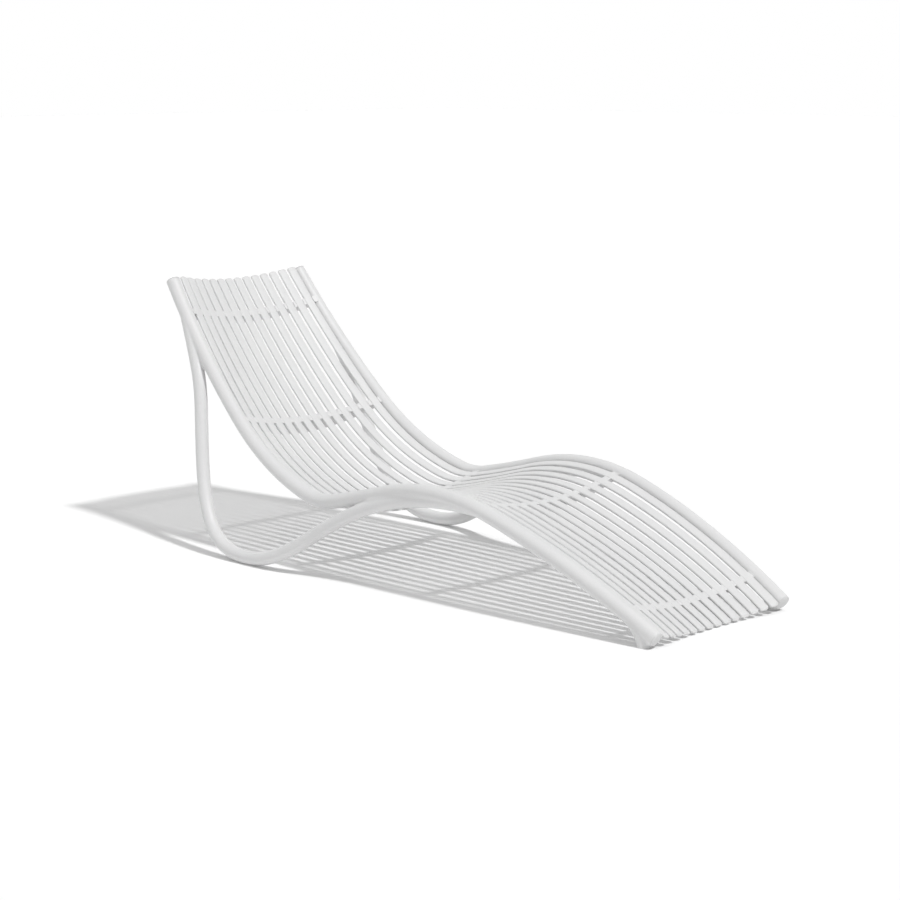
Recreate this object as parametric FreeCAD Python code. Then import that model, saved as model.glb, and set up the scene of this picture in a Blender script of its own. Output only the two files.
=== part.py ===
import FreeCAD, Part
import math
import os

# Sun lounger of powder-coated aluminium tube. It lies along X with its foot end at +X,
# Z is up, the floor is Z = 0 and the plane Y = 0 is its middle. Sizes are millimetres.

Vector = FreeCAD.Vector
ACROSS = Vector(0, 1, 0)
SIDES = {"right": -1, "left": 1}

# Side rails: tube, and the bends of the side view from the head to the foot
RAIL_OD = 40.0
RAIL_WALL = 2.0
HEAD_ANGLE = -53.1
BACK_LENGTH = 490.0
BACK_RADIUS = 2560.0
LUMBAR_LENGTH = 360.0
LUMBAR_RADIUS = 760.0
SEAT_LENGTH = 100.0
SEAT_RADIUS = 210.0
THIGH_LENGTH = 205.0
THIGH_RADIUS = 3000.0
KNEE_LENGTH = 390.0
KNEE_RADIUS = 656.0
SHIN_LENGTH = 548.0
SHIN_RADIUS = 2480.0
FOOT_END_HEIGHT = 24.6

# Plan view: the rails bow outward, widest beside the seat
SEAT_HALF_WIDTH = 297.0
WIDEST_X = 43.4
PLAN_RADIUS = 7640.0

# Dish: the slats lie on an arc that meets the rails above their axes, most of all at the head
DISH_RAISE = 10.0
HEAD_DISH_RAISE = 21.0
HEAD_RAISE_LENGTH = 800.0
DISH_DEPTH = 46.0
FOOT_DISH_DEPTH = 37.0

# Slats: flat oval tubes, all cut to the rail's length
SLAT_COUNT = 14
SLAT_WIDTH = 27.0
SLAT_THICKNESS = 8.0
SLAT_WALL = 1.5

# Cross bars: crescents under the dish, notched from above for the slats. For each, its distance
# along the rail, and how far it reaches below the slat tops in the middle and at the rails
BAR_WIDTH = 20.0
BAR_TOP_DROP = 1.5
BAR_END_INSET = 10.0
BARS = {
    "head_bar": (117.3, 39.0, 23.0),
    "back_bar": (501.0, 56.0, 16.0),
    "seat_bar": (930.0, 30.0, 15.0),
    "knee_bar": (1466.0, 26.0, 13.0),
    "foot_bar": (1984.4, 20.0, 15.0),
}

# Leg loops: bent tubes that leave the rail below the head and join it again past the knee
LEG_OD = 38.0
LEG_WALL = 2.0
LEG_HEAD_STATION = 112.0
LEG_HEAD_TURN = 9.4
LEG_HEAD_PULL = 684.0
LEG_WAIST_BEHIND_LOOP = 257.0
LEG_WAIST_HEIGHT = 302.0
LEG_WAIST_ANGLE = -75.8
LEG_WAIST_PULL_UP = 512.0
LEG_WAIST_PULL_DOWN = 624.0
LOOP_FROM_HEAD = 471.0
LOOP_HALF_SPREAD = 368.0
LOOP_PULL_BACK = 472.0
LOOP_PULL_FRONT = 748.0
LEG_KNEE_STATION = 1503.0
LEG_KNEE_TURN = -10.3
LEG_KNEE_PULL = 1529.0
LEG_JOINT_REACH = 520.0

# Front feet: short bent stubs under the rails, each closed by a plug that stands on the floor
FOOT_OD = 38.0
FOOT_WALL = 1.5
FOOT_STATION_FROM_END = 90.0
FOOT_SETBACK = 34.0
FOOT_PULL_RAIL = 70.0
FOOT_PULL_FLOOR = 70.0
FOOT_PLUG_FLANGE = 3.0
FOOT_SPIGOT_LENGTH = 6.0

# End caps and plugs
RAIL_CAP_THICKNESS = 2.5
RAIL_CAP_ROUNDING = 1.5
SLAT_CAP_THICKNESS = 2.0
SPIGOT_LENGTH = 9.0
SPIGOT_CLEARANCE = 0.2

# Gap left for the weld between a bar, leg or foot and the tube it meets
WELD_GAP = 0.1

# How finely the bent tubes are sectioned
STEP_LENGTH = 125.0
STEP_TURN = math.radians(9.5)
LEG_STEPS = 8
FOOT_STEPS = 4
CUTTER_STEPS = 6
TANGENT_STEP = 0.5
SEW_TOLERANCE = 0.001

RAIL_BENDS = [
    (BACK_LENGTH, BACK_RADIUS),
    (LUMBAR_LENGTH, LUMBAR_RADIUS),
    (SEAT_LENGTH, SEAT_RADIUS),
    (THIGH_LENGTH, THIGH_RADIUS),
    (KNEE_LENGTH, -KNEE_RADIUS),
    (SHIN_LENGTH, -SHIN_RADIUS),
]
RAIL_LENGTH = sum(length for length, radius in RAIL_BENDS)
KNEE_STATION = RAIL_LENGTH - SHIN_LENGTH - KNEE_LENGTH / 2
NET_TURN = sum(length / radius for length, radius in RAIL_BENDS)


def bent_run(station):
    """Side view of the rail from its head at (0, 0): x, z and heading this far along it."""
    x = 0.0
    z = 0.0
    heading = math.radians(HEAD_ANGLE)
    left = station
    for number, (length, radius) in enumerate(RAIL_BENDS):
        last = number == len(RAIL_BENDS) - 1
        run = left if last else min(left, length)
        turned = heading + run / radius
        x += radius * (math.sin(turned) - math.sin(heading))
        z += radius * (math.cos(heading) - math.cos(turned))
        heading = turned
        left -= run
        if left <= 0:
            break
    return x, z, heading


def end_reach(heading, depth, cap):
    """How far a capped tube end reaches along X, when its outside lies this deep from the rail's axis."""
    return depth * abs(math.sin(heading)) + cap * abs(math.cos(heading))


END_X, END_Z, END_HEADING = bent_run(RAIL_LENGTH)
FOOT_REACH = end_reach(END_HEADING, RAIL_OD / 2, RAIL_CAP_THICKNESS)
MIDDLE_SLAT_DEPTH = DISH_DEPTH - HEAD_DISH_RAISE + SLAT_THICKNESS / 2
HEAD_REACH = max(
    end_reach(math.radians(HEAD_ANGLE), RAIL_OD / 2, RAIL_CAP_THICKNESS),
    end_reach(math.radians(HEAD_ANGLE), MIDDLE_SLAT_DEPTH, SLAT_CAP_THICKNESS),
)
OVERALL_LENGTH = HEAD_REACH + END_X + FOOT_REACH
HEAD_X = HEAD_REACH - OVERALL_LENGTH / 2
HEAD_Z = FOOT_END_HEIGHT - END_Z


def profile(station):
    """Place in the middle plane level with the rail axes, and the rail's heading there."""
    x, z, heading = bent_run(station)
    return Vector(HEAD_X + x, 0, HEAD_Z + z), heading


def along(heading):
    return Vector(math.cos(heading), 0, math.sin(heading))


def upward(heading):
    return Vector(-math.sin(heading), 0, math.cos(heading))


def half_width(x):
    """Distance of a rail's axis from the middle plane."""
    return SEAT_HALF_WIDTH - (x - WIDEST_X) ** 2 / (2 * PLAN_RADIUS)


def rail_axis(station, side):
    place, heading = profile(station)
    return place + ACROSS * (side * half_width(place.x))


def smooth(share):
    """Ease from 0 to 1 with no slope at either end."""
    share = min(max(share, 0.0), 1.0)
    return share * share * (3 - 2 * share)


def dish_raise(station):
    """How far above the rail axes the dish meets the rails."""
    fade = smooth(station / HEAD_RAISE_LENGTH)
    return HEAD_DISH_RAISE + (DISH_RAISE - HEAD_DISH_RAISE) * fade


def dish(station):
    """Depth and radius of the dish across the lounger at this distance along the rail."""
    place, heading = profile(station)
    fade = smooth((station - KNEE_STATION) / (RAIL_LENGTH - KNEE_STATION))
    depth = DISH_DEPTH + (FOOT_DISH_DEPTH - DISH_DEPTH) * fade
    radius = (half_width(place.x) ** 2 + depth**2) / (2 * depth)
    return depth, radius


def dish_angle(station, number):
    """Angle of a slat's middle round the dish, with the slats evenly spread between the rails."""
    depth, radius = dish(station)
    place, heading = profile(station)
    arc = 2 * radius * math.asin(half_width(place.x) / radius)
    pitch = (arc - RAIL_OD) / SLAT_COUNT
    return (number - (SLAT_COUNT - 1) / 2) * pitch / radius


def dish_frame(station, angle):
    """Point on the dish with its sideways and upward directions."""
    depth, radius = dish(station)
    place, heading = profile(station)
    up = upward(heading)
    centre = place + up * (radius - depth + dish_raise(station))
    sideways = ACROSS * math.cos(angle) + up * math.sin(angle)
    outward = up * math.cos(angle) - ACROSS * math.sin(angle)
    return centre - outward * radius, sideways, outward


def arc_edge(centre, first, second, radius):
    """Quarter circle from the first direction to the second."""
    middle = (first + second).normalize()
    return Part.Arc(centre + first * radius, centre + middle * radius, centre + second * radius).toShape()


def round_wire(centre, sideways, up, diameter):
    turns = [sideways, up, sideways * -1, up * -1]
    edges = [arc_edge(centre, turns[i], turns[(i + 1) % 4], diameter / 2) for i in range(4)]
    return Part.Wire(edges)


def flat_oval_wire(centre, sideways, up, width, thickness):
    """Outline of a flat tube with fully rounded edges."""
    radius = thickness / 2
    right = centre + sideways * (width / 2 - radius)
    left = centre - sideways * (width / 2 - radius)
    under = up * -1
    edges = [
        arc_edge(right, under, sideways, radius),
        arc_edge(right, sideways, up, radius),
        Part.LineSegment(right + up * radius, left + up * radius).toShape(),
        arc_edge(left, up, sideways * -1, radius),
        arc_edge(left, sideways * -1, under, radius),
        Part.LineSegment(left + under * radius, right + under * radius).toShape(),
    ]
    return Part.Wire(edges)


def loft(wires):
    return Part.makeLoft(wires, True, False)


def hollow(outer, inner):
    """Tube between two skins, each lofted through its own outlines, with flat ring ends."""
    faces = Part.makeLoft(outer, False, False).Faces + Part.makeLoft(inner, False, False).Faces
    for end in (0, -1):
        faces.append(Part.Face([outer[end], inner[end]]))
    shell = Part.makeShell(faces)
    shell.sewShape()
    solid = Part.makeSolid(shell)
    solid.fix(SEW_TOLERANCE, SEW_TOLERANCE, SEW_TOLERANCE)
    return solid


def rail_stations(first, last):
    """Distances along the rail to section it at, closer where it bends harder."""
    marks = [first]
    start = 0.0
    for length, radius in RAIL_BENDS:
        steps = math.ceil(max(length / STEP_LENGTH, length / abs(radius) / STEP_TURN))
        marks += [start + length * step / steps for step in range(1, steps + 1)]
        start += length
    return [mark for mark in marks if first <= mark < last - TANGENT_STEP] + [last]


def tube_wire(path, mark, diameter):
    """Circle square to a path at this mark along it."""
    ahead = path(mark + TANGENT_STEP)
    behind = path(mark - TANGENT_STEP)
    direction = (ahead - behind).normalize()
    up = direction.cross(ACROSS).normalize() * -1
    return round_wire(path(mark), up.cross(direction), up, diameter)


def rail_cutter(side, first, last):
    """Rod along one stretch of a rail, a weld gap larger, to cope what meets the rail there."""
    marks = [first + (last - first) * step / CUTTER_STEPS for step in range(CUTTER_STEPS + 1)]
    return loft([tube_wire(lambda s: rail_axis(s, side), mark, RAIL_OD + 2 * WELD_GAP) for mark in marks])


def path_tube(path, marks, step, diameter, wall):
    """Hollow tube along a path, cut square at both ends."""
    outer = []
    inner = []
    for mark in marks:
        direction = (path(mark + step) - path(mark - step)).normalize()
        up = direction.cross(ACROSS).normalize() * -1
        sideways = up.cross(direction)
        outer.append(round_wire(path(mark), sideways, up, diameter))
        inner.append(round_wire(path(mark), sideways, up, diameter - 2 * wall))
    return hollow(outer, inner)


def side_rail(side):
    path = lambda s: rail_axis(s, side)
    return path_tube(path, rail_stations(0.0, RAIL_LENGTH), TANGENT_STEP, RAIL_OD, RAIL_WALL)


def slat_end(number):
    """Where along the rail a slat ends: the lower its path in the dish, the sooner its length runs out."""
    depth, radius = dish(RAIL_LENGTH)
    angle = dish_angle(RAIL_LENGTH, number)
    drop = depth - DISH_RAISE - radius * (1 - math.cos(angle))
    return RAIL_LENGTH - drop * NET_TURN


def slat_wire(number, station, grow):
    """A slat's outline, made larger all round by grow."""
    centre, sideways, up = dish_frame(station, dish_angle(station, number))
    return flat_oval_wire(centre, sideways, up, SLAT_WIDTH + 2 * grow, SLAT_THICKNESS + 2 * grow)


def slat(number):
    outer = []
    inner = []
    for station in rail_stations(0.0, slat_end(number)):
        outer.append(slat_wire(number, station, 0.0))
        inner.append(slat_wire(number, station, -SLAT_WALL))
    return hollow(outer, inner)


def cross_bar(station, middle_depth, end_depth):
    """Crescent with its top bowed to the dish, notched for the slats and coped to both rails."""
    depth, radius = dish(station)
    place, heading = profile(station)
    up = upward(heading)
    centre = place + up * (radius - depth + dish_raise(station))
    slat_top = radius - SLAT_THICKNESS / 2
    top = slat_top + BAR_TOP_DROP
    end = slat_top + end_depth
    middle = slat_top + middle_depth
    reach = math.asin((half_width(place.x) - BAR_END_INSET) / radius)

    def spot(distance, angle):
        return centre + (ACROSS * math.sin(angle) - up * math.cos(angle)) * distance

    edges = [
        Part.Arc(spot(top, -reach), spot(top, 0), spot(top, reach)).toShape(),
        Part.LineSegment(spot(top, reach), spot(end, reach)).toShape(),
        Part.Arc(spot(end, reach), spot(middle, 0), spot(end, -reach)).toShape(),
        Part.LineSegment(spot(end, -reach), spot(top, -reach)).toShape(),
    ]
    face = Part.Face(Part.Wire(edges))
    face.translate(along(heading) * (-BAR_WIDTH / 2))
    bar = face.extrude(along(heading) * BAR_WIDTH)
    near = [station + share * BAR_WIDTH for share in (-1, 0, 1)]
    cutters = [loft([slat_wire(number, s, WELD_GAP) for s in near]) for number in range(SLAT_COUNT)]
    cutters += [rail_cutter(side, near[0], near[-1]) for side in SIDES.values()]
    return largest(bar.cut(cutters))


def largest(shape):
    """The main solid of a cut, without crumbs."""
    return max(shape.Solids, key=lambda solid: solid.Volume)


def cubic(start, start_pull, end, end_pull, share):
    """Point on a cubic curve that leaves start along start_pull and arrives at end along end_pull."""
    t = share
    return (
        start * (2 * t**3 - 3 * t**2 + 1)
        + start_pull * (t**3 - 2 * t**2 + t)
        + end * (3 * t**2 - 2 * t**3)
        + end_pull * (t**3 - t**2)
    )


def leg_path(side):
    """Path of a leg loop, from 0 at the head through 1 at its waist and 2 on the floor to 3 at the knee."""
    head = rail_axis(LEG_HEAD_STATION, side)
    knee = rail_axis(LEG_KNEE_STATION, side)
    floor = Vector(HEAD_X + LOOP_FROM_HEAD, side * LOOP_HALF_SPREAD, LEG_OD / 2)
    waist = Vector(floor.x - LEG_WAIST_BEHIND_LOOP, 0, LEG_WAIST_HEIGHT)
    head_course = along(profile(LEG_HEAD_STATION)[1] - math.radians(LEG_HEAD_TURN))
    knee_course = along(profile(LEG_KNEE_STATION)[1] - math.radians(LEG_KNEE_TURN))
    waist_course = along(math.radians(LEG_WAIST_ANGLE))
    floor_course = Vector(1, 0, 0)

    def path(mark):
        if mark < 1:
            point = cubic(head, head_course * LEG_HEAD_PULL, waist, waist_course * LEG_WAIST_PULL_UP, mark)
        elif mark < 2:
            pull = floor_course * LOOP_PULL_BACK
            point = cubic(waist, waist_course * LEG_WAIST_PULL_DOWN, floor, pull, mark - 1)
        else:
            pull = floor_course * LOOP_PULL_FRONT
            point = cubic(floor, pull, knee, knee_course * LEG_KNEE_PULL, mark - 2)
        if mark < 2:
            share = (point.z - floor.z) / (head.z - floor.z)
            sideways = floor.y + (head.y - floor.y) * share
        else:
            sideways = floor.y + (knee.y - floor.y) * smooth(mark - 2)
        return Vector(point.x, sideways, point.z)

    return path


def leg_loop(side):
    step = TANGENT_STEP / RAIL_LENGTH
    marks = [mark / LEG_STEPS for mark in range(3 * LEG_STEPS + 1)]
    tube = path_tube(leg_path(side), marks, step, LEG_OD, LEG_WALL)
    head_joint = rail_cutter(side, LEG_HEAD_STATION - RAIL_OD, LEG_HEAD_STATION + LEG_JOINT_REACH)
    knee_joint = rail_cutter(side, LEG_KNEE_STATION - LEG_JOINT_REACH, LEG_KNEE_STATION + RAIL_OD)
    return largest(largest(tube.cut(head_joint)).cut(knee_joint))


def foot_path(side):
    """Path of a front foot, from 0 in the rail to 1 on its plug."""
    station = RAIL_LENGTH - FOOT_STATION_FROM_END
    start = rail_axis(station, side)
    x = HEAD_X + END_X - FOOT_SETBACK
    end = Vector(x, side * half_width(x), FOOT_PLUG_FLANGE)
    course = along(profile(station)[1])
    return lambda mark: cubic(start, course * FOOT_PULL_RAIL, end, Vector(0, 0, -FOOT_PULL_FLOOR), mark)


def front_foot(side):
    marks = [mark / FOOT_STEPS for mark in range(FOOT_STEPS + 1)]
    tube = path_tube(foot_path(side), marks, TANGENT_STEP / FOOT_OD, FOOT_OD, FOOT_WALL)
    joint = rail_cutter(side, RAIL_LENGTH - FOOT_STATION_FROM_END - RAIL_OD, RAIL_LENGTH)
    return largest(tube.cut(joint))


def front_foot_plug(side):
    end = foot_path(side)(1)
    flange = Part.makeCylinder(FOOT_OD / 2, FOOT_PLUG_FLANGE, end, Vector(0, 0, -1))
    bore = FOOT_OD / 2 - FOOT_WALL
    return flange.fuse(Part.makeCylinder(bore - SPIGOT_CLEARANCE, FOOT_SPIGOT_LENGTH, end, Vector(0, 0, 1)))


def rail_cap(side, station, outward):
    """Disc with a spigot in the end of a rail; outward is -1 at the head and 1 at the foot."""
    path = lambda s: rail_axis(s, side)
    course = (path(station + TANGENT_STEP) - path(station - TANGENT_STEP)).normalize() * outward
    end = path(station)
    disc = Part.makeCylinder(RAIL_OD / 2, RAIL_CAP_THICKNESS, end, course)
    rim = max(disc.Edges, key=lambda edge: (edge.CenterOfMass - end).dot(course))
    disc = disc.makeFillet(RAIL_CAP_ROUNDING, [rim])
    bore = RAIL_OD / 2 - RAIL_WALL
    return disc.fuse(Part.makeCylinder(bore - SPIGOT_CLEARANCE, SPIGOT_LENGTH, end, course * -1))


def slat_cap(number, station, outward):
    """Plate with a spigot in the end of a slat; outward is -1 at the head and 1 at the foot."""
    heading = profile(station)[1]
    centre, sideways, up = dish_frame(station, dish_angle(station, number))
    course = along(heading) * outward
    plate = Part.Face(flat_oval_wire(centre, sideways, up, SLAT_WIDTH, SLAT_THICKNESS))
    plate = plate.extrude(course * SLAT_CAP_THICKNESS)
    shrink = 2 * (SLAT_WALL + SPIGOT_CLEARANCE)
    spigot = Part.Face(flat_oval_wire(centre, sideways, up, SLAT_WIDTH - shrink, SLAT_THICKNESS - shrink))
    return plate.fuse(spigot.extrude(course * -SPIGOT_LENGTH))


def save(name, shapes):
    shape = shapes[0] if len(shapes) == 1 else Part.makeCompound(shapes)
    shape.exportStep("parts/" + name + ".step")
    box = shape.BoundBox
    print(name, len(shape.Solids), shape.isValid(), round(shape.Volume), round(box.ZMin, 2), round(box.ZMax, 2))


def main():
    os.makedirs("parts", exist_ok=True)
    for name, side in SIDES.items():
        save("side_rail_" + name, [side_rail(side)])
        save("leg_loop_" + name, [leg_loop(side)])
        save("front_foot_" + name, [front_foot(side)])
    for number in range(SLAT_COUNT):
        save("slat_%02d" % (number + 1), [slat(number)])
    for name, (station, middle_depth, end_depth) in BARS.items():
        save(name, [cross_bar(station, middle_depth, end_depth)])
    sides = SIDES.values()
    numbers = range(SLAT_COUNT)
    save("rail_head_caps", [rail_cap(side, 0.0, -1) for side in sides])
    save("rail_foot_caps", [rail_cap(side, RAIL_LENGTH, 1) for side in sides])
    save("slat_head_caps", [slat_cap(number, 0.0, -1) for number in numbers])
    save("slat_foot_caps", [slat_cap(number, slat_end(number), 1) for number in numbers])
    save("front_foot_plugs", [front_foot_plug(side) for side in sides])


main()
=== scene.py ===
import math

import bpy
from mathutils import Matrix, Vector


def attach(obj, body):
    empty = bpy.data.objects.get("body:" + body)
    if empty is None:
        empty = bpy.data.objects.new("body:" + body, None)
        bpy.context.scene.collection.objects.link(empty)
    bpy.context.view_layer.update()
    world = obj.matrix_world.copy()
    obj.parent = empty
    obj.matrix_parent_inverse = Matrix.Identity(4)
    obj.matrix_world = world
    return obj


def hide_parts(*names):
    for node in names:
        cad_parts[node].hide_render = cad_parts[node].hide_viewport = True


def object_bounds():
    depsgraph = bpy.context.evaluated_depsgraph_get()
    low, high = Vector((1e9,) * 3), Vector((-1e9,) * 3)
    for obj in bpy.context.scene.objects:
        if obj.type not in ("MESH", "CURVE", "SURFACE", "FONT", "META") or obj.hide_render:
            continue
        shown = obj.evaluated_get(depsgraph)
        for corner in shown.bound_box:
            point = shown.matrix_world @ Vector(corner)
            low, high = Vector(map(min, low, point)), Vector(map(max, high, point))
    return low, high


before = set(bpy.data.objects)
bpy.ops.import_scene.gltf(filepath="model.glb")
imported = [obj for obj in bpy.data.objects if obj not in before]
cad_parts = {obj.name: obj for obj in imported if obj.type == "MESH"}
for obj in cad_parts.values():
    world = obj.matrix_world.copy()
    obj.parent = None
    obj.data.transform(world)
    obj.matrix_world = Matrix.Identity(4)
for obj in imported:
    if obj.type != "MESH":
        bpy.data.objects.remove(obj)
CAD_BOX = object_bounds()

# Sun lounger in white powder-coated tube. Sizes are metres in the frame's own axes:
# +X to the foot end, +Z up, the floor at Z = 0 and the middle plane at Y = 0.

SIDES = {"right": -1, "left": 1}
ACROSS = Vector((0, 1, 0))
FORWARD = Vector((1, 0, 0))
DOWN = Vector((0, 0, -1))

# Side rails: bends of the side view from the head to the foot, as length and radius
RAIL_OD = 0.040
HEAD_ANGLE = math.radians(-53.1)
RAIL_BENDS = [
    (0.490, 2.560),
    (0.360, 0.760),
    (0.100, 0.210),
    (0.205, 3.000),
    (0.390, -0.656),
    (0.548, -2.480),
]
RAIL_LENGTH = sum(length for length, radius in RAIL_BENDS)
NET_TURN = sum(length / radius for length, radius in RAIL_BENDS)
KNEE_STATION = RAIL_LENGTH - RAIL_BENDS[5][0] - RAIL_BENDS[4][0] / 2
FOOT_END_HEIGHT = 0.0246
SEAT_HALF_WIDTH = 0.297
WIDEST_X = 0.0434
PLAN_RADIUS = 7.640

# Slats on their dished bed
SLAT_COUNT = 14
SLAT_WIDTH = 0.027
SLAT_THICKNESS = 0.008
SLAT_EDGE_ROUNDING = SLAT_THICKNESS / 2 * 0.995
SLAT_END_ROUNDING = 0.0004
DISH_RAISE = 0.010
HEAD_DISH_RAISE = 0.021
HEAD_RAISE_LENGTH = 0.800
DISH_DEPTH = 0.046
FOOT_DISH_DEPTH = 0.037

# Leg loops: a turn is an angle to the rail, a pull is how strongly a bend keeps its course
LEG_OD = 0.038
LEG_HEAD_STATION = 0.112
LEG_HEAD_TURN = math.radians(9.4)
LEG_HEAD_PULL = 0.684
LEG_WAIST_BEHIND_LOOP = 0.257
LEG_WAIST_HEIGHT = 0.302
LEG_WAIST_ANGLE = math.radians(-75.8)
LEG_WAIST_PULL_UP = 0.512
LEG_WAIST_PULL_DOWN = 0.624
LOOP_FROM_HEAD = 0.471
LOOP_HALF_SPREAD = 0.368
LOOP_PULL_BACK = 0.472
LOOP_PULL_FRONT = 0.748
LEG_KNEE_STATION = 1.503
LEG_KNEE_TURN = math.radians(-10.3)
LEG_KNEE_PULL = 1.529

# Front feet
FOOT_OD = 0.038
FOOT_STATION_FROM_END = 0.090
FOOT_SETBACK = 0.034
FOOT_PULL = 0.070
FOOT_PLUG_FLANGE = 0.003
FOOT_PLUG_ROUNDING = 0.0008

# Caps in the open tube ends: RAIL_CAP is the flange of the solid, the domes are the visible caps
RAIL_CAP = 0.0025
RAIL_CAP_DOME = 0.0045
SLAT_CAP_DOME = 0.0055
CAP_INSET = 0.0003
CAP_ROOT = 0.003

# Cross bars: distance along the rail, and depth below the slat tops at the rails
BAR_WIDTH = 0.020
BAR_TOP_DROP = 0.0015
BAR_ENDS = {
    "head_bar": (0.1173, 0.023),
    "back_bar": (0.5010, 0.016),
    "seat_bar": (0.9300, 0.015),
    "knee_bar": (1.4660, 0.013),
    "foot_bar": (1.9844, 0.015),
}

# Weld beads: WELD_TOP is the highest angle round the rail, the ripple is a share of the radius
WELD_RADIUS = 0.0016
WELD_LIFT = 0.0003
WELD_TOP = math.radians(58.0)
WELD_RIPPLE = 0.04
WELD_RIPPLE_STEP = 2.4
WELD_RIPPLE_SHIFT = 9

# Filler between leg loop and rail: where on the rail and on the leg it can start, the distance
# between the axes at which it starts, over how much of it the filler grows, its full radius, and
# the share of that radius at its start
FILLER_FROM = 0.950
FILLER_FIRST_MARK = 2.5
FILLER_START = 0.040
FILLER_EASE = 0.010
FILLER_RADIUS = 0.0182
FILLER_THIN = 0.15

# How finely the pieces are divided and smoothed
ROD_SIDES = 40
FIRST_CUTS = 11
SECOND_CUTS = 13
SLAT_SECOND_CUTS = 10
PATH_POINTS = 260
SHORT_PATH_POINTS = 65
WELD_POINTS = 9
LINE_RESOLUTION = 6
SLAT_EDGE_SEGMENTS = 7
SLAT_END_SEGMENTS = 2
RIM_SEGMENTS = 3
SKIN_VOXEL = 0.0026
SKIN_SMOOTHING = 8
SKIN_FACTOR = 0.5
SLAT_CREASE = math.radians(40)
SMALL_CREASE = math.radians(35)
COURSE_STEP = 0.0005
HALVINGS = 40
SAME_PLACE = 1e-6


def bent_run(station):
    """Side view of the rail from its head at (0, 0): x, z and heading this far along it."""
    x = 0.0
    z = 0.0
    heading = HEAD_ANGLE
    left = station
    for number, (length, radius) in enumerate(RAIL_BENDS):
        last = number == len(RAIL_BENDS) - 1
        run = left if last else min(left, length)
        turned = heading + run / radius
        x += radius * (math.sin(turned) - math.sin(heading))
        z += radius * (math.cos(heading) - math.cos(turned))
        heading = turned
        left -= run
        if left <= 0:
            break
    return x, z, heading


END_X, END_Z, END_HEADING = bent_run(RAIL_LENGTH)
FOOT_REACH = RAIL_OD / 2 * abs(math.sin(END_HEADING)) + RAIL_CAP * math.cos(END_HEADING)
HEAD_X = CAD_BOX[1][0] - FOOT_REACH - END_X
HEAD_Z = FOOT_END_HEIGHT - END_Z


def profile(station):
    """Point of the middle plane level with the rails this far along them, and its heading."""
    x, z, heading = bent_run(station)
    return Vector((HEAD_X + x, 0, HEAD_Z + z)), heading


def along(heading):
    return Vector((math.cos(heading), 0, math.sin(heading)))


def upward(heading):
    return Vector((-math.sin(heading), 0, math.cos(heading)))


def half_width(x):
    return SEAT_HALF_WIDTH - (x - WIDEST_X) ** 2 / (2 * PLAN_RADIUS)


def rail_axis(station, side):
    place = profile(station)[0]
    return place + ACROSS * (side * half_width(place.x))


def smooth(share):
    share = min(max(share, 0.0), 1.0)
    return share * share * (3 - 2 * share)


def dish_raise(station):
    fade = smooth(station / HEAD_RAISE_LENGTH)
    return HEAD_DISH_RAISE + (DISH_RAISE - HEAD_DISH_RAISE) * fade


def dish(station):
    """Depth and radius of the dish that the slats lie in."""
    place = profile(station)[0]
    fade = smooth((station - KNEE_STATION) / (RAIL_LENGTH - KNEE_STATION))
    depth = DISH_DEPTH + (FOOT_DISH_DEPTH - DISH_DEPTH) * fade
    radius = (half_width(place.x) ** 2 + depth**2) / (2 * depth)
    return depth, radius


def dish_centre(station):
    depth, radius = dish(station)
    place, heading = profile(station)
    return place + upward(heading) * (radius - depth + dish_raise(station))


def dish_angle(station, number):
    radius = dish(station)[1]
    place = profile(station)[0]
    arc = 2 * radius * math.asin(half_width(place.x) / radius)
    pitch = (arc - RAIL_OD) / SLAT_COUNT
    return (number - (SLAT_COUNT - 1) / 2) * pitch / radius


def slat_point(station, number):
    """Middle of a slat's section, and how far the slat leans round the dish there."""
    radius = dish(station)[1]
    angle = dish_angle(station, number)
    up = upward(profile(station)[1])
    outward = up * math.cos(angle) - ACROSS * math.sin(angle)
    return dish_centre(station) - outward * radius, angle


def slat_end(number):
    """Where along the rail a slat ends: the lower its path in the dish, the sooner it runs out."""
    depth, radius = dish(RAIL_LENGTH)
    angle = dish_angle(RAIL_LENGTH, number)
    drop = depth - DISH_RAISE - radius * (1 - math.cos(angle))
    return RAIL_LENGTH - drop * NET_TURN


def cubic(start, start_pull, end, end_pull, t):
    return (
        start * (2 * t**3 - 3 * t**2 + 1)
        + start_pull * (t**3 - 2 * t**2 + t)
        + end * (3 * t**2 - 2 * t**3)
        + end_pull * (t**3 - t**2)
    )


def leg_point(mark, side):
    """Leg loop's axis: 0 at the head, 1 at its waist, 2 on the floor and 3 at the knee."""
    head = rail_axis(LEG_HEAD_STATION, side)
    knee = rail_axis(LEG_KNEE_STATION, side)
    loop = Vector((HEAD_X + LOOP_FROM_HEAD, side * LOOP_HALF_SPREAD, LEG_OD / 2))
    waist = Vector((loop.x - LEG_WAIST_BEHIND_LOOP, 0, LEG_WAIST_HEIGHT))
    head_course = along(profile(LEG_HEAD_STATION)[1] - LEG_HEAD_TURN)
    knee_course = along(profile(LEG_KNEE_STATION)[1] - LEG_KNEE_TURN)
    waist_course = along(LEG_WAIST_ANGLE)
    if mark < 1:
        waist_pull = waist_course * LEG_WAIST_PULL_UP
        point = cubic(head, head_course * LEG_HEAD_PULL, waist, waist_pull, mark)
    elif mark < 2:
        waist_pull = waist_course * LEG_WAIST_PULL_DOWN
        point = cubic(waist, waist_pull, loop, FORWARD * LOOP_PULL_BACK, mark - 1)
    else:
        knee_pull = knee_course * LEG_KNEE_PULL
        point = cubic(loop, FORWARD * LOOP_PULL_FRONT, knee, knee_pull, mark - 2)
    if mark < 2:
        point.y = loop.y + (head.y - loop.y) * (point.z - loop.z) / (head.z - loop.z)
    else:
        point.y = loop.y + (knee.y - loop.y) * smooth(mark - 2)
    return point


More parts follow.
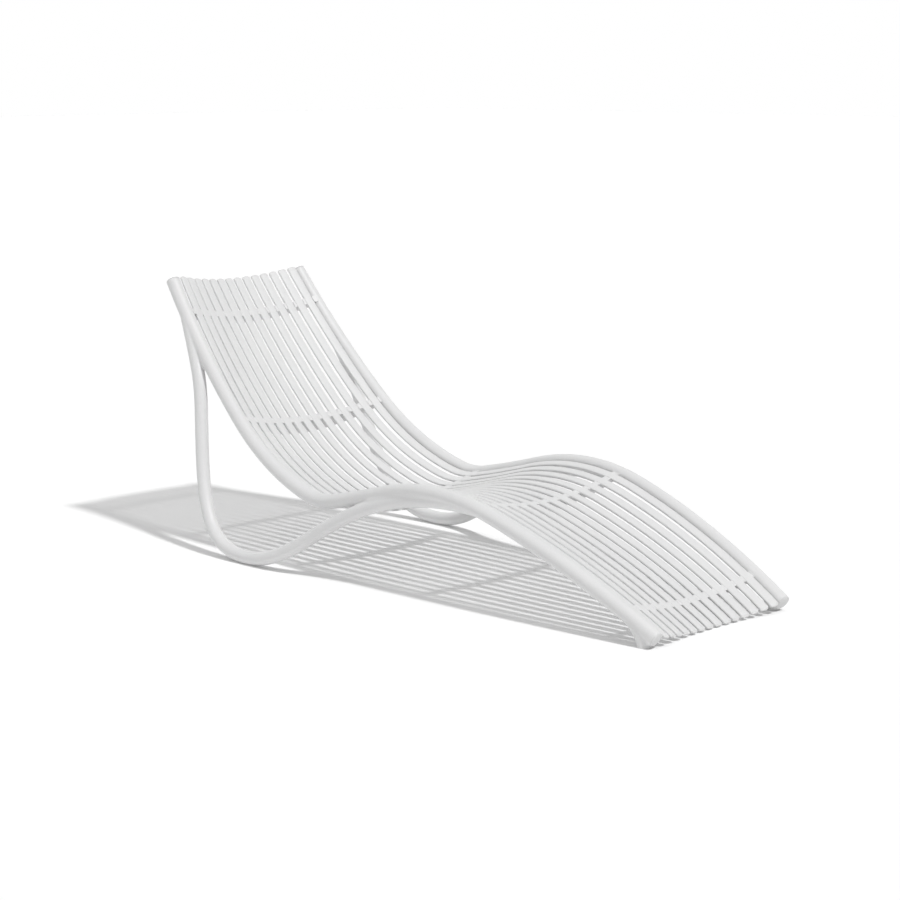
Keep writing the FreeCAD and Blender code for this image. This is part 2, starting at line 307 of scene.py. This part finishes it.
def foot_point(mark, side):
    """Front foot's axis, from 0 in the rail to 1 on its plug."""
    station = RAIL_LENGTH - FOOT_STATION_FROM_END
    start = rail_axis(station, side)
    x = HEAD_X + END_X - FOOT_SETBACK
    end = Vector((x, side * half_width(x), FOOT_PLUG_FLANGE))
    course = along(profile(station)[1])
    return cubic(start, course * FOOT_PULL, end, DOWN * FOOT_PULL, mark)


def spread(first, last, count):
    return [first + (last - first) * step / (count - 1) for step in range(count)]


def run_length(points):
    return sum((b - a).length for a, b in zip(points, points[1:]))


# Modelling helpers


def deselect_all():
    if bpy.context.mode != "OBJECT":
        bpy.ops.object.mode_set(mode="OBJECT")
    bpy.ops.object.select_all(action="DESELECT")


def only(piece):
    """Make a piece the one that is selected and active."""
    deselect_all()
    piece.select_set(True)
    bpy.context.view_layer.objects.active = piece


def settle(piece):
    """Put a piece's place, turn and scale into its mesh."""
    only(piece)
    bpy.ops.object.transform_apply(location=True, rotation=True, scale=True)


def edit_edges(piece, wanted):
    """Enter edit mode with the edges selected whose two ends pass the test."""
    only(piece)
    bpy.context.tool_settings.mesh_select_mode = (False, True, False)
    bpy.ops.object.mode_set(mode="EDIT")
    bpy.ops.mesh.select_all(action="DESELECT")
    bpy.ops.object.mode_set(mode="OBJECT")
    mesh = piece.data
    for edge in mesh.edges:
        first, second = (mesh.vertices[index].co for index in edge.vertices)
        edge.select = wanted(first, second)
    bpy.ops.object.mode_set(mode="EDIT")


def leave_edit():
    bpy.ops.object.mode_set(mode="OBJECT")


def lengthwise(first, second):
    return abs(first.x - second.x) > SAME_PLACE


def crosswise(first, second):
    return not lengthwise(first, second)


def divide_lengthwise(piece, cuts):
    edit_edges(piece, lengthwise)
    bpy.ops.mesh.subdivide(number_cuts=cuts, quadcorner="STRAIGHT_CUT")
    leave_edit()


def bevel_edges(piece, wanted, offset, segments):
    edit_edges(piece, wanted)
    bpy.ops.mesh.bevel(offset=offset, segments=segments, affect="EDGES")
    leave_edit()


def apply_all(piece):
    only(piece)
    for modifier in list(piece.modifiers):
        bpy.ops.object.modifier_apply(modifier=modifier.name)


def join(pieces):
    """Join the pieces into the first one, which stays active."""
    only(pieces[0])
    for piece in pieces[1:]:
        piece.select_set(True)
    bpy.ops.object.join()
    return pieces[0]


def drawn_line(name, points):
    """Curve that runs straight from point to point, and its control points."""
    curve = bpy.data.curves.new(name, "CURVE")
    curve.dimensions = "3D"
    spline = curve.splines.new("POLY")
    spline.points.add(len(points) - 1)
    for control, point in zip(spline.points, points):
        control.co = (*point, 1)
    line = bpy.data.objects.new(name, curve)
    bpy.context.scene.collection.objects.link(line)
    return line, spline.points


def follow(piece, points, leans=()):
    """Bend a straight piece that lies along X from the origin so that it runs along the points."""
    line, controls = drawn_line("bending_line", points)
    curve = line.data
    curve.twist_mode = "Z_UP"
    for control, lean in zip(controls, leans):
        control.tilt = lean
    bend = piece.modifiers.new("bend", "CURVE")
    bend.object = line
    bend.deform_axis = "POS_X"
    apply_all(piece)
    bpy.data.objects.remove(line)
    bpy.data.curves.remove(curve)


def swept_line(points, thickness, shares):
    """Round line through the points, whose thickness is scaled by a share at each point."""
    line, controls = drawn_line("swept_line", points)
    line.data.bevel_depth = thickness
    line.data.bevel_resolution = LINE_RESOLUTION
    line.data.use_fill_caps = True
    for control, share in zip(controls, shares):
        control.radius = share
    only(line)
    bpy.ops.object.convert(target="MESH")
    return bpy.context.object


def finish_piece(piece, name, nodes, material):
    piece.name = name
    piece.data.name = name
    piece.data.materials.clear()
    piece.data.materials.append(material)
    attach(piece, "root")
    if nodes:
        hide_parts(*nodes)


def finish_joined(pieces, name, nodes, material):
    """Make small pieces one piece, smooth except at its creases."""
    piece = join(pieces)
    bpy.ops.object.shade_smooth_by_angle(angle=SMALL_CREASE)
    finish_piece(piece, name, nodes, material)


# Finishes: a noise is given by its scale, detail and roughness

DRIFT_NOISE = (9.0, 3.0, 0.55)
SPECKLE_NOISE = (420.0, 1.0, 0.5)
GLOSS_NOISE = (60.0, 4.0, 0.6)
SKIN_DETAIL = 2.0
SKIN_ROUGHNESS = 0.5
SKIN_STRENGTH = 0.35
SPECKLE_LOW = (0.955, 0.955, 0.955)
SPECKLE_HIGH = (1.0, 1.0, 1.0)
TONES_FROM = 0.30
TONES_TO = 0.70


def new_material(name):
    material = bpy.data.materials.new(name)
    material.use_nodes = True
    nodes = material.node_tree.nodes
    return material, nodes, material.node_tree.links, nodes["Principled BSDF"]


def noise(nodes, links, place, scale, detail, roughness):
    texture = nodes.new("ShaderNodeTexNoise")
    texture.inputs["Scale"].default_value = scale
    texture.inputs["Detail"].default_value = detail
    texture.inputs["Roughness"].default_value = roughness
    links.new(place.outputs["Object"], texture.inputs["Vector"])
    return texture


def tone_ramp(nodes, links, texture, low, high):
    """Tones between two colours that follow a noise."""
    ramp = nodes.new("ShaderNodeValToRGB")
    first, second = ramp.color_ramp.elements
    first.position = TONES_FROM
    second.position = TONES_TO
    first.color = (*low, 1)
    second.color = (*high, 1)
    links.new(texture.outputs["Fac"], ramp.inputs["Fac"])
    return ramp


def value_range(nodes, links, value, low, high):
    """Map a value between 0 and 1 to a range."""
    mapped = nodes.new("ShaderNodeMapRange")
    mapped.inputs["To Min"].default_value = low
    mapped.inputs["To Max"].default_value = high
    links.new(value, mapped.inputs["Value"])
    return mapped.outputs["Result"]


def coated_surface(name, low, high, rough_low, rough_high, grain, grain_height):
    """White finish with a faint drift of tone, uneven gloss and a fine skin of grain."""
    material, nodes, links, shader = new_material(name)
    place = nodes.new("ShaderNodeTexCoord")
    drift = noise(nodes, links, place, *DRIFT_NOISE)
    tones = tone_ramp(nodes, links, drift, low, high)
    speckle = noise(nodes, links, place, *SPECKLE_NOISE)
    grains = tone_ramp(nodes, links, speckle, SPECKLE_LOW, SPECKLE_HIGH)
    mottle = nodes.new("ShaderNodeMix")
    mottle.data_type = "RGBA"
    mottle.blend_type = "MULTIPLY"
    mottle.inputs["Factor"].default_value = 1.0
    links.new(tones.outputs["Color"], mottle.inputs["A"])
    links.new(grains.outputs["Color"], mottle.inputs["B"])
    links.new(mottle.outputs["Result"], shader.inputs["Base Color"])
    gloss = noise(nodes, links, place, *GLOSS_NOISE)
    roughness = value_range(nodes, links, gloss.outputs["Fac"], rough_low, rough_high)
    links.new(roughness, shader.inputs["Roughness"])
    skin = noise(nodes, links, place, grain, SKIN_DETAIL, SKIN_ROUGHNESS)
    bump = nodes.new("ShaderNodeBump")
    bump.inputs["Strength"].default_value = SKIN_STRENGTH
    bump.inputs["Distance"].default_value = grain_height
    links.new(skin.outputs["Fac"], bump.inputs["Height"])
    links.new(bump.outputs["Normal"], shader.inputs["Normal"])
    return material


powder_coat = coated_surface(
    "white_powder_coat",
    low=(0.760, 0.760, 0.762),
    high=(0.780, 0.780, 0.780),
    rough_low=0.40,
    rough_high=0.52,
    grain=850.0,
    grain_height=0.00012,
)
cap_plastic = coated_surface(
    "white_plastic",
    low=(0.740, 0.740, 0.740),
    high=(0.760, 0.760, 0.758),
    rough_low=0.46,
    rough_high=0.58,
    grain=1400.0,
    grain_height=0.00006,
)


# Side frames: rail, leg loop and front foot, welded and ground into one skin


def straight_rod(length, diameter):
    deselect_all()
    bpy.ops.mesh.primitive_cylinder_add(
        vertices=ROD_SIDES,
        radius=diameter / 2,
        depth=length,
        end_fill_type="NGON",
        location=(length / 2, 0, 0),
        rotation=(0, math.pi / 2, 0),
    )
    rod = bpy.context.object
    settle(rod)
    divide_lengthwise(rod, FIRST_CUTS)
    divide_lengthwise(rod, SECOND_CUTS)
    return rod


def bent_rod(points, diameter):
    rod = straight_rod(run_length(points), diameter)
    follow(rod, points)
    return rod


def joint_filler(side):
    """Filler of the groove between leg loop and rail where they run together at the knee."""
    rail = [rail_axis(s, side) for s in spread(FILLER_FROM, LEG_KNEE_STATION, PATH_POINTS)]
    points = []
    shares = []
    for mark in spread(FILLER_FIRST_MARK, 3, SHORT_PATH_POINTS):
        leg = leg_point(mark, side)
        near = min(rail, key=lambda point: (point - leg).length)
        gap = (near - leg).length
        if gap < FILLER_START:
            grown = smooth((FILLER_START - gap) / FILLER_EASE)
            points.append((near + leg) / 2)
            shares.append(FILLER_THIN + (1 - FILLER_THIN) * grown)
    return swept_line(points, FILLER_RADIUS, shares)


def side_frame(name, side):
    rail = bent_rod([rail_axis(s, side) for s in spread(0, RAIL_LENGTH, PATH_POINTS)], RAIL_OD)
    leg = bent_rod([leg_point(m, side) for m in spread(0, 3, PATH_POINTS)], LEG_OD)
    foot = bent_rod([foot_point(m, side) for m in spread(0, 1, SHORT_PATH_POINTS)], FOOT_OD)
    welded = join([rail, leg, foot, joint_filler(side)])
    skin = welded.modifiers.new("skin", "REMESH")
    skin.mode = "VOXEL"
    skin.voxel_size = SKIN_VOXEL
    ground = welded.modifiers.new("ground", "SMOOTH")
    ground.factor = SKIN_FACTOR
    ground.iterations = SKIN_SMOOTHING
    apply_all(welded)
    bpy.ops.object.shade_smooth()
    nodes = ["side_rail_" + name, "leg_loop_" + name, "front_foot_" + name]
    finish_piece(welded, "side_frame_" + name, nodes, powder_coat)


for side_name, side_sign in SIDES.items():
    side_frame(side_name, side_sign)


# Slats: flat oval tubes bent to the wave and leaned round the dish


def oval_rod(length):
    """Straight slat along X from the origin, with fully rounded edges and softened ends."""
    deselect_all()
    scale = (length, SLAT_WIDTH, SLAT_THICKNESS)
    bpy.ops.mesh.primitive_cube_add(size=1, location=(length / 2, 0, 0), scale=scale)
    rod = bpy.context.object
    settle(rod)
    bevel_edges(rod, lengthwise, SLAT_EDGE_ROUNDING, SLAT_EDGE_SEGMENTS)
    bevel_edges(rod, crosswise, SLAT_END_ROUNDING, SLAT_END_SEGMENTS)
    return rod


def slat(number):
    stations = spread(0, slat_end(number), PATH_POINTS)
    course = [slat_point(station, number) for station in stations]
    points = [point for point, lean in course]
    rod = oval_rod(run_length(points))
    divide_lengthwise(rod, FIRST_CUTS)
    divide_lengthwise(rod, SLAT_SECOND_CUTS)
    follow(rod, points, [lean for point, lean in course])
    bpy.ops.object.shade_smooth_by_angle(angle=SLAT_CREASE)
    name = "slat_%02d" % (number + 1)
    finish_piece(rod, name + "_tube", [name], powder_coat)


for slat_number in range(SLAT_COUNT):
    slat(slat_number)


# Caps and plugs in the open tube ends


def place_along(piece, place, course, sideways):
    """Stand a piece at a place, with its +X turned to the course and its +Y sideways."""
    up = course.cross(sideways)
    turn = Matrix((course, sideways, up)).transposed().to_4x4()
    piece.matrix_world = Matrix.Translation(place) @ turn
    settle(piece)


def round_cap(diameter, reach, rounding):
    """Disc with a rounded outer rim that points along +X and is rooted in its tube."""
    deselect_all()
    bpy.ops.mesh.primitive_cylinder_add(
        vertices=ROD_SIDES,
        radius=diameter / 2 - CAP_INSET,
        depth=reach + CAP_ROOT,
        location=((reach - CAP_ROOT) / 2, 0, 0),
        rotation=(0, math.pi / 2, 0),
    )
    cap = bpy.context.object
    settle(cap)
    bevel_edges(cap, lambda a, b: min(a.x, b.x) > reach - SAME_PLACE, rounding, RIM_SEGMENTS)
    return cap


def domed_cap(width, thickness, reach):
    """Shallow dome that closes a tube end and points along +X."""
    deselect_all()
    bpy.ops.mesh.primitive_uv_sphere_add(
        segments=ROD_SIDES,
        ring_count=ROD_SIDES,
        radius=1,
        scale=(thickness / 2 - CAP_INSET, width / 2 - CAP_INSET, reach),
    )
    cap = bpy.context.object
    cap.rotation_euler = (0, math.pi / 2, 0)
    settle(cap)
    return cap


def rail_caps(name, station, outward):
    caps = []
    for side in SIDES.values():
        ahead = rail_axis(station + COURSE_STEP, side)
        behind = rail_axis(station - COURSE_STEP, side)
        course = (ahead - behind).normalized() * outward
        sideways = ACROSS - course * course.dot(ACROSS)
        sideways.normalize()
        cap = domed_cap(RAIL_OD, RAIL_OD, RAIL_CAP_DOME)
        place_along(cap, rail_axis(station, side), course, sideways)
        caps.append(cap)
    finish_joined(caps, name + "_round", [name], cap_plastic)


def slat_caps(name, at_foot):
    caps = []
    outward = 1 if at_foot else -1
    for number in range(SLAT_COUNT):
        station = slat_end(number) if at_foot else 0.0
        point, lean = slat_point(station, number)
        heading = profile(station)[1]
        course = along(heading) * outward
        sideways = (ACROSS * math.cos(lean) + upward(heading) * math.sin(lean)) * outward
        cap = domed_cap(SLAT_WIDTH, SLAT_THICKNESS, SLAT_CAP_DOME)
        place_along(cap, point, course, sideways)
        caps.append(cap)
    finish_joined(caps, name + "_round", [name], cap_plastic)


def foot_plugs(name):
    plugs = []
    for side in SIDES.values():
        plug = round_cap(FOOT_OD, FOOT_PLUG_FLANGE, FOOT_PLUG_ROUNDING)
        place_along(plug, foot_point(1, side), DOWN, ACROSS)
        plugs.append(plug)
    finish_joined(plugs, name + "_round", [name], cap_plastic)


rail_caps("rail_head_caps", 0.0, -1)
rail_caps("rail_foot_caps", RAIL_LENGTH, 1)
slat_caps("slat_head_caps", False)
slat_caps("slat_foot_caps", True)
foot_plugs("front_foot_plugs")


# Weld beads where the cross bars meet the rails


def weld_path(station, end_depth, side):
    """Round a bar's end on the rail: up one face, along the top and down the other face."""
    heading = profile(station)[1]
    up = upward(heading)
    course = along(heading)
    centre = rail_axis(station, side)
    reach = RAIL_OD / 2 + WELD_LIFT
    half = BAR_WIDTH / 2
    bed_centre = dish_centre(station)
    slat_top = dish(station)[1] - SLAT_THICKNESS / 2

    def on_rail(shift, angle):
        outward = up * math.sin(angle) - ACROSS * (side * math.cos(angle))
        return centre + course * shift + outward * reach

    def meets(depth_below):
        """Angle round the rail that lies this far below the slat tops."""
        low, high = -WELD_TOP, WELD_TOP
        for _ in range(HALVINGS):
            angle = (low + high) / 2
            if (on_rail(0, angle) - bed_centre).length > slat_top + depth_below:
                low = angle
            else:
                high = angle
        return angle

    top = meets(BAR_TOP_DROP)
    bottom = meets(end_depth)
    rise = [on_rail(-half, angle) for angle in spread(bottom, top, WELD_POINTS)]
    across = [on_rail(shift, top) for shift in spread(-half, half, WELD_POINTS)]
    fall = [on_rail(half, angle) for angle in spread(top, bottom, WELD_POINTS)]
    return rise + across[1:-1] + fall


def weld_beads():
    beads = []
    for station, end_depth in BAR_ENDS.values():
        for side in SIDES.values():
            course = weld_path(station, end_depth, side)
            ripple = []
            for number in range(len(course)):
                phase = number * WELD_RIPPLE_STEP + station * WELD_RIPPLE_SHIFT
                ripple.append(1.0 + WELD_RIPPLE * math.sin(phase))
            beads.append(swept_line(course, WELD_RADIUS, ripple))
    finish_joined(beads, "bar_weld_beads", [], powder_coat)


weld_beads()


# Cross bars keep their solids and take the finish

for bar in BAR_ENDS:
    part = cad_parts[bar]
    part.data.materials.clear()
    part.data.materials.append(powder_coat)


# Floor, light and camera: a sky's focus is how narrowly it shines from its direction

CAMERA_PLACE = (3.9854, -4.000, 1.350)
CAMERA_AZIMUTH = math.radians(45.0)
CAMERA_DOWN = math.radians(10.27)
CAMERA_LENS = 85.0
CAMERA_SENSOR = 36.0
CAMERA_REACH = 200.0
SKY_TOP = 1.24
SKY_TOP_FOCUS = 4.0
SKY_SIDE = 2.00
SKY_SIDE_FOCUS = 12.0
SKY_BACK = 0.32
SKY_BACK_FOCUS = 2.0
SUN_LEVEL = 1.80
SUN_ELEVATION = math.radians(54.5)
SUN_SOFTNESS = math.radians(4.2)
FLOOR_SEEN = 1.0
FLOOR_BOUNCE = 0.93
FLOOR_LIFT = 0.06
FLOOR_GLOW = 0.07
FLOOR_SIZE = 90.0
WHITE = (1, 1, 1, 1)


def floor():
    """White floor that keeps the shadow, and glows a little so that the undersides aren't dull."""
    deselect_all()
    bpy.ops.mesh.primitive_plane_add(size=FLOOR_SIZE, location=(0, 0, 0))
    plane = bpy.context.object
    plane.name = "floor"
    material, nodes, links, shader = new_material("pale_floor")
    seen = nodes.new("ShaderNodeLightPath").outputs["Is Camera Ray"]
    tone = value_range(nodes, links, seen, FLOOR_BOUNCE, FLOOR_SEEN)
    glow = value_range(nodes, links, seen, FLOOR_GLOW, FLOOR_LIFT)
    links.new(tone, shader.inputs["Base Color"])
    links.new(glow, shader.inputs["Emission Strength"])
    shader.inputs["Emission Color"].default_value = WHITE
    shader.inputs["Roughness"].default_value = 1.0
    shader.inputs["Specular IOR Level"].default_value = 0.0
    plane.data.materials.append(material)


def sky():
    """Soft light from above, the right and the head end; the camera and gloss see plain white."""
    world = bpy.data.worlds.new("studio")
    bpy.context.scene.world = world
    world.use_nodes = True
    nodes = world.node_tree.nodes
    links = world.node_tree.links
    backdrop = nodes["Background"]
    backdrop.inputs["Color"].default_value = WHITE
    place = nodes.new("ShaderNodeTexCoord")
    axes = nodes.new("ShaderNodeSeparateXYZ")
    links.new(place.outputs["Generated"], axes.inputs["Vector"])

    def combine(operation, first, second):
        node = nodes.new("ShaderNodeMath")
        node.operation = operation
        for number, value in enumerate((first, second)):
            if isinstance(value, float):
                node.inputs[number].default_value = value
            else:
                links.new(value, node.inputs[number])
        return node.outputs["Value"]

    def lobe(axis, sign, focus, level):
        facing = combine("MAXIMUM", combine("MULTIPLY", axes.outputs[axis], sign), 0.0)
        return combine("MULTIPLY", combine("POWER", facing, focus), level)

    overhead = lobe("Z", 1.0, SKY_TOP_FOCUS, SKY_TOP)
    beside = lobe("Y", -1.0, SKY_SIDE_FOCUS, SKY_SIDE)
    behind = lobe("X", -1.0, SKY_BACK_FOCUS, SKY_BACK)
    light = combine("ADD", combine("ADD", overhead, beside), behind)
    path = nodes.new("ShaderNodeLightPath")
    white = combine("MAXIMUM", path.outputs["Is Camera Ray"], path.outputs["Is Glossy Ray"])
    seen = nodes.new("ShaderNodeMix")
    links.new(white, seen.inputs["Factor"])
    links.new(light, seen.inputs["A"])
    seen.inputs["B"].default_value = 1.0
    links.new(seen.outputs["Result"], backdrop.inputs["Strength"])


def sun():
    lamp = bpy.data.lights.new("key", "SUN")
    lamp.energy = SUN_LEVEL
    lamp.angle = SUN_SOFTNESS
    key = bpy.data.objects.new("key", lamp)
    key.rotation_euler = (0, math.pi / 2 - SUN_ELEVATION, 0)
    bpy.context.scene.collection.objects.link(key)


def camera():
    lens = bpy.data.cameras.new("camera")
    lens.lens = CAMERA_LENS
    lens.sensor_width = CAMERA_SENSOR
    lens.clip_end = CAMERA_REACH
    eye = bpy.data.objects.new("camera", lens)
    eye.location = CAMERA_PLACE
    eye.rotation_euler = (math.pi / 2 - CAMERA_DOWN, 0, CAMERA_AZIMUTH)
    bpy.context.scene.collection.objects.link(eye)
    bpy.context.scene.camera = eye


floor()
sky()
sun()
camera()
bpy.context.scene.view_settings.view_transform = "Standard"
